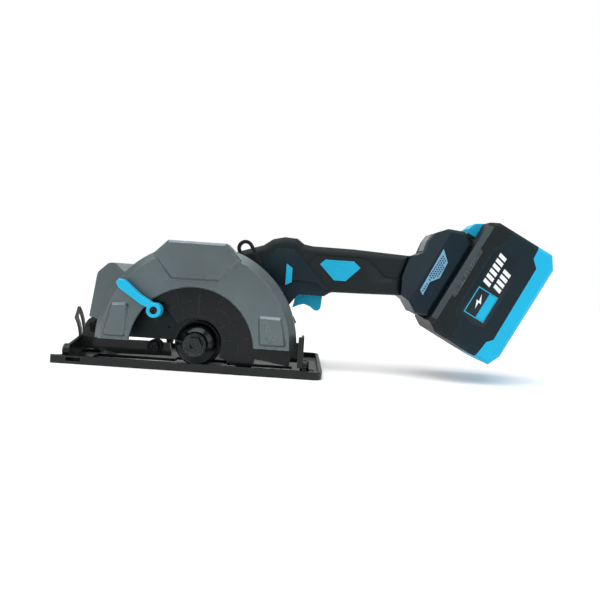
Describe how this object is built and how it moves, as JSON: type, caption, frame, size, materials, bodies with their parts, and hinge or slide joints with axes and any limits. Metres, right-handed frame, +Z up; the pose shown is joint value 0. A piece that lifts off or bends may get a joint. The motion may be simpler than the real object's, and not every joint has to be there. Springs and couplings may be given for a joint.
{
  "type": "cordless circular saw",
  "caption": "Cordless circular saw with a cast blade guard, swinging lower guard, tilting steel shoe, straight rear grip and a slide-on battery pack at its end.",
  "frame": {"origin": "on the spindle axis, at the middle of the blade's place between the flanges", "axes": "-Y out of the blade side of the saw, +X back towards the battery, +Z up from the shoe"},
  "size_m": [0.4465, 0.133, 0.1519],
  "materials": {
    "shoe_steel": "satin black coating on stamped steel",
    "zinc_steel": "zinc plated",
    "black_steel": "black oxide, semi-gloss",
    "cast_grey": "grey paint on a fine cast texture",
    "cast_black": "black paint on a fine cast texture",
    "bearing_steel": "polished",
    "lamination_steel": "laminated",
    "copper": "enamelled wire",
    "black_plastic": "fine texture",
    "grip_rubber": "soft grip skin over nylon, fine grain",
    "navy_plastic": "fine texture",
    "blue_plastic": "satin, bright blue",
    "mesh_plastic": "satin, light blue",
    "smoke_plastic": "dark smoked",
    "buffer_rubber": "matt",
    "grey_plastic": "fine texture",
    "board_green": "circuit board",
    "cell_steel": "shrink sleeve",
    "label_film": "printed film"
  },
  "bodies": {
    "base": {"base_plate": "shoe_steel", "bevel_quadrant": "shoe_steel", "base_rear_bracket": "shoe_steel", "base_rivets": "zinc_steel", "fence_saddle": "shoe_steel"},
    "fence_clamp": {"fence_screw": "black_plastic"},
    "tilt_frame": {"tilt_front_bracket": "shoe_steel", "tilt_rear_bracket": "shoe_steel", "depth_arc": "shoe_steel", "bevel_pins": "zinc_steel", "bevel_stud": "zinc_steel", "tilt_screws": "black_steel", "bumper": "buffer_rubber"},
    "bevel_lock": {"bevel_knob": "black_plastic"},
    "head": {"upper_guard": "cast_grey", "dust_chute": "cast_grey", "gear_housing": "cast_black", "guard_screws": "zinc_steel", "bearings": "bearing_steel", "motor_housing": "black_plastic", "motor_end_cap": "black_plastic", "stator": "lamination_steel", "windings": "copper", "handle_left": "grip_rubber", "handle_right": "grip_rubber", "foot_left": "navy_plastic", "foot_right": "navy_plastic", "side_panels": "navy_plastic", "badges": "blue_plastic", "foot_mesh": "mesh_plastic", "control_panel": "grey_plastic", "switch_module": "black_plastic", "controller_board": "board_green", "terminal_block": "navy_plastic", "housing_screws": "black_steel", "depth_stud": "zinc_steel"},
    "depth_lock": {"depth_lever": "black_plastic"},
    "arbor": {"spindle": "zinc_steel", "inner_flange": "zinc_steel", "spindle_gear": "zinc_steel"},
    "blade_clamp": {"outer_flange": "black_steel", "blade_bolt": "black_steel"},
    "rotor": {"motor_shaft": "zinc_steel", "rotor_core": "lamination_steel", "cooling_fan": "black_plastic"},
    "lower_guard": {"swing_guard": "smoke_plastic", "guard_lever": "blue_plastic", "lever_screw": "black_steel"},
    "spindle_stop": {"spindle_lock": "black_plastic"},
    "trigger": {"trigger": "blue_plastic"},
    "lock_off": {"lock_off_button": "blue_plastic"},
    "battery": {"battery_top": "navy_plastic", "battery_mid": "black_plastic", "battery_bottom": "blue_plastic", "battery_cells": "cell_steel", "battery_board": "board_green", "battery_labels": "label_film", "battery_screws": "black_steel"},
    "battery_release": {"battery_latch": "blue_plastic"}
  },
  "joints": [
    {"name": "bevel", "type": "hinge", "parent": "base", "child": "tilt_frame", "pos_m": [0, -0.012, -0.012], "axis": [1, 0, 0], "range_deg": [0, 45]},
    {"name": "bevel_lock_turn", "type": "hinge", "parent": "tilt_frame", "child": "bevel_lock", "pos_m": [-0.096, 0.02585, -0.00869], "axis": [1, 0, 0], "range_deg": [0, 110]},
    {"name": "fence_clamp_turn", "type": "hinge", "parent": "base", "child": "fence_clamp", "pos_m": [-0.1025, 0.082, -0.01], "axis": [0, 0, 1], "range_deg": [0, 180]},
    {"name": "depth", "type": "hinge", "parent": "tilt_frame", "child": "head", "pos_m": [-0.0973, 0.018, 0.0076], "axis": [0, -1, 0], "range_deg": [0, 30]},
    {"name": "depth_lock_turn", "type": "hinge", "parent": "head", "child": "depth_lock", "pos_m": [0.05935, 0.022, 0.0117], "axis": [0, -1, 0], "range_deg": [0, 45]},
    {"name": "motor_spin", "type": "hinge", "parent": "head", "child": "rotor", "pos_m": [0, 0.06, 0.022], "axis": [0, 1, 0], "continuous": true},
    {"name": "arbor_spin", "type": "hinge", "parent": "head", "child": "arbor", "pos_m": [0, 0, 0], "axis": [0, 1, 0], "continuous": true},
    {"name": "blade_clamp_slide", "type": "slide", "parent": "arbor", "child": "blade_clamp", "axis": [0, -1, 0], "range_m": [0, 0.0125]},
    {"name": "guard_swing", "type": "hinge", "parent": "head", "child": "lower_guard", "pos_m": [0, 0, 0], "axis": [0, 1, 0], "range_deg": [0, 135]},
    {"name": "spindle_lock_press", "type": "slide", "parent": "head", "child": "spindle_stop", "axis": [1, 0, 0], "range_m": [0, 0.004], "stiffness_N_per_m": 300, "springref_m": -0.004},
    {"name": "trigger_pull", "type": "slide", "parent": "head", "child": "trigger", "axis": [0, 0, 1], "range_m": [0, 0.005], "stiffness_N_per_m": 400, "springref_m": -0.003},
    {"name": "lock_off_press", "type": "slide", "parent": "head", "child": "lock_off", "axis": [0, 1, 0], "range_m": [0, 0.003], "stiffness_N_per_m": 300, "springref_m": -0.003},
    {"name": "battery_slide", "type": "slide", "parent": "head", "child": "battery", "axis": [0.4695, 0, 0.8829], "range_m": [0, 0.1]},
    {"name": "battery_release_press", "type": "slide", "parent": "battery", "child": "battery_release", "axis": [0.8829, 0, -0.4695], "range_m": [0, 0.003], "stiffness_N_per_m": 500, "springref_m": -0.003}
  ],
  "couplings": [
    {"joint": "arbor_spin", "follows": "motor_spin", "ratio": -0.29412}
  ]
}
